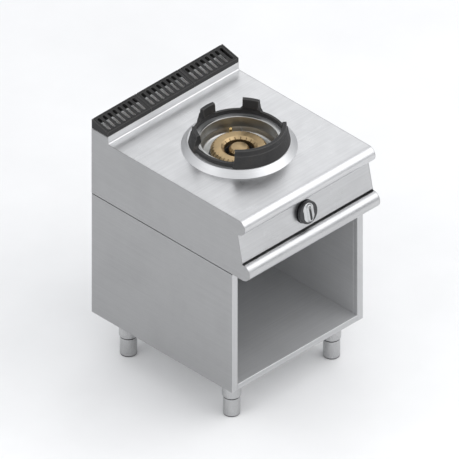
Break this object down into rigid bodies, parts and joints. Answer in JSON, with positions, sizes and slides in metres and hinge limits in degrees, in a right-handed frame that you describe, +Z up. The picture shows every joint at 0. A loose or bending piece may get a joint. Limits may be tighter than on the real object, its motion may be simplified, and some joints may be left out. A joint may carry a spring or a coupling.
{
  "type": "wok range",
  "caption": "Free-standing gas wok range: crowned burner in a cast ring on a coned collar, sloping panel with push-turn knob, louvred flue, open cabinet, adjustable legs.",
  "frame": {"origin": "on the floor, under the middle of the body's outline", "axes": "+Z up; the front, with the knob, faces -Y; +X to the right of someone facing the front"},
  "size_m": [0.6, 0.7264, 0.9343],
  "materials": {
    "stainless": "brushed satin",
    "stainless_plain": "mill satin",
    "galvanised": "galvanised, dull",
    "cast_iron": "matt, as cast",
    "brass": "machined",
    "copper": "drawn tube",
    "small_steel": "turned",
    "dial_black": "moulded, fine texture",
    "knob_metal": "die cast, satin"
  },
  "bodies": {
    "frame": {"air_shutter": "brass", "bonnet_nut": "brass", "burner_body": "cast_iron", "burner_bridge": "galvanised", "burner_collar": "stainless", "burner_gas_pipe": "copper", "cabinet_back": "galvanised", "cabinet_floor": "stainless_plain", "cabinet_liner_left": "stainless_plain", "cabinet_liner_right": "stainless_plain", "cabinet_side_left": "stainless", "cabinet_side_right": "stainless", "control_panel": "stainless", "dial_ring": "dial_black", "flue_duct": "galvanised", "front_crossbar": "galvanised", "gas_inlet_union": "brass", "gas_supply_pipe": "small_steel", "injector": "brass", "injector_bracket": "galvanised", "injector_holder": "brass", "knob_spring": "small_steel", "leg_rail_left": "galvanised", "leg_rail_right": "galvanised", "leg_sleeve_front_left": "stainless", "leg_sleeve_front_right": "stainless", "leg_sleeve_rear_left": "stainless", "leg_sleeve_rear_right": "stainless", "lower_rail": "stainless", "magnet_unit": "small_steel", "mixing_tube": "cast_iron", "pilot_bracket": "small_steel", "pilot_burner": "brass", "pilot_tube": "copper", "tap_body": "brass", "tap_bracket": "galvanised", "thermocouple": "small_steel", "thermocouple_lead": "copper", "tie_rail_front": "stainless_plain", "tie_rail_rear": "galvanised", "upper_back": "galvanised", "upper_floor": "galvanised", "upper_side_left": "stainless", "upper_side_right": "stainless", "worktop": "stainless"},
    "tap_push": {"tap_plunger": "small_steel"},
    "knob_turn": {"knob": "knob_metal", "tap_spindle": "small_steel"},
    "wok_ring": {"wok_ring": "cast_iron"},
    "burner_crown": {"burner_crown": "brass"},
    "burner_cap": {"burner_cap": "brass"},
    "spill_bowl": {"spill_bowl": "stainless_plain"},
    "grille_left": {"flue_grille_left": "cast_iron"},
    "grille_middle": {"flue_grille_middle": "cast_iron"},
    "grille_right": {"flue_grille_right": "cast_iron"},
    "foot_front_left": {"leg_foot_front_left": "stainless_plain"},
    "foot_front_right": {"leg_foot_front_right": "stainless_plain"},
    "foot_rear_left": {"leg_foot_rear_left": "stainless_plain"},
    "foot_rear_right": {"leg_foot_rear_right": "stainless_plain"}
  },
  "joints": [
    {"name": "knob_push", "type": "slide", "parent": "frame", "child": "tap_push", "axis": [0, 0.9785, -0.2065], "range_m": [0, 0.005], "stiffness_N_per_m": 1500, "springref_m": -0.004, "deforming": ["knob_spring"]},
    {"name": "knob_rotate", "type": "hinge", "parent": "tap_push", "child": "knob_turn", "pos_m": [0, -0.31851, 0.74], "axis": [0, -0.9785, 0.2065], "range_deg": [0, 210]},
    {"name": "wok_ring_lift", "type": "slide", "parent": "frame", "child": "wok_ring", "axis": [0, 0, 1], "range_m": [0, 0.15]},
    {"name": "spill_bowl_lift", "type": "slide", "parent": "frame", "child": "spill_bowl", "axis": [0, 0, 1], "range_m": [0, 0.1]},
    {"name": "burner_crown_lift", "type": "slide", "parent": "frame", "child": "burner_crown", "axis": [0, 0, 1], "range_m": [0, 0.12]},
    {"name": "burner_cap_lift", "type": "slide", "parent": "frame", "child": "burner_cap", "axis": [0, 0, 1], "range_m": [0, 0.12]},
    {"name": "grille_left_lift", "type": "slide", "parent": "frame", "child": "grille_left", "axis": [0, 0, 1], "range_m": [0, 0.08]},
    {"name": "grille_middle_lift", "type": "slide", "parent": "frame", "child": "grille_middle", "axis": [0, 0, 1], "range_m": [0, 0.08]},
    {"name": "grille_right_lift", "type": "slide", "parent": "frame", "child": "grille_right", "axis": [0, 0, 1], "range_m": [0, 0.08]},
    {"name": "foot_front_left_adjust", "type": "slide", "parent": "frame", "child": "foot_front_left", "axis": [0, 0, -1], "range_m": [0, 0.05]},
    {"name": "foot_front_right_adjust", "type": "slide", "parent": "frame", "child": "foot_front_right", "axis": [0, 0, -1], "range_m": [0, 0.05]},
    {"name": "foot_rear_left_adjust", "type": "slide", "parent": "frame", "child": "foot_rear_left", "axis": [0, 0, -1], "range_m": [0, 0.05]},
    {"name": "foot_rear_right_adjust", "type": "slide", "parent": "frame", "child": "foot_rear_right", "axis": [0, 0, -1], "range_m": [0, 0.05]}
  ]
}
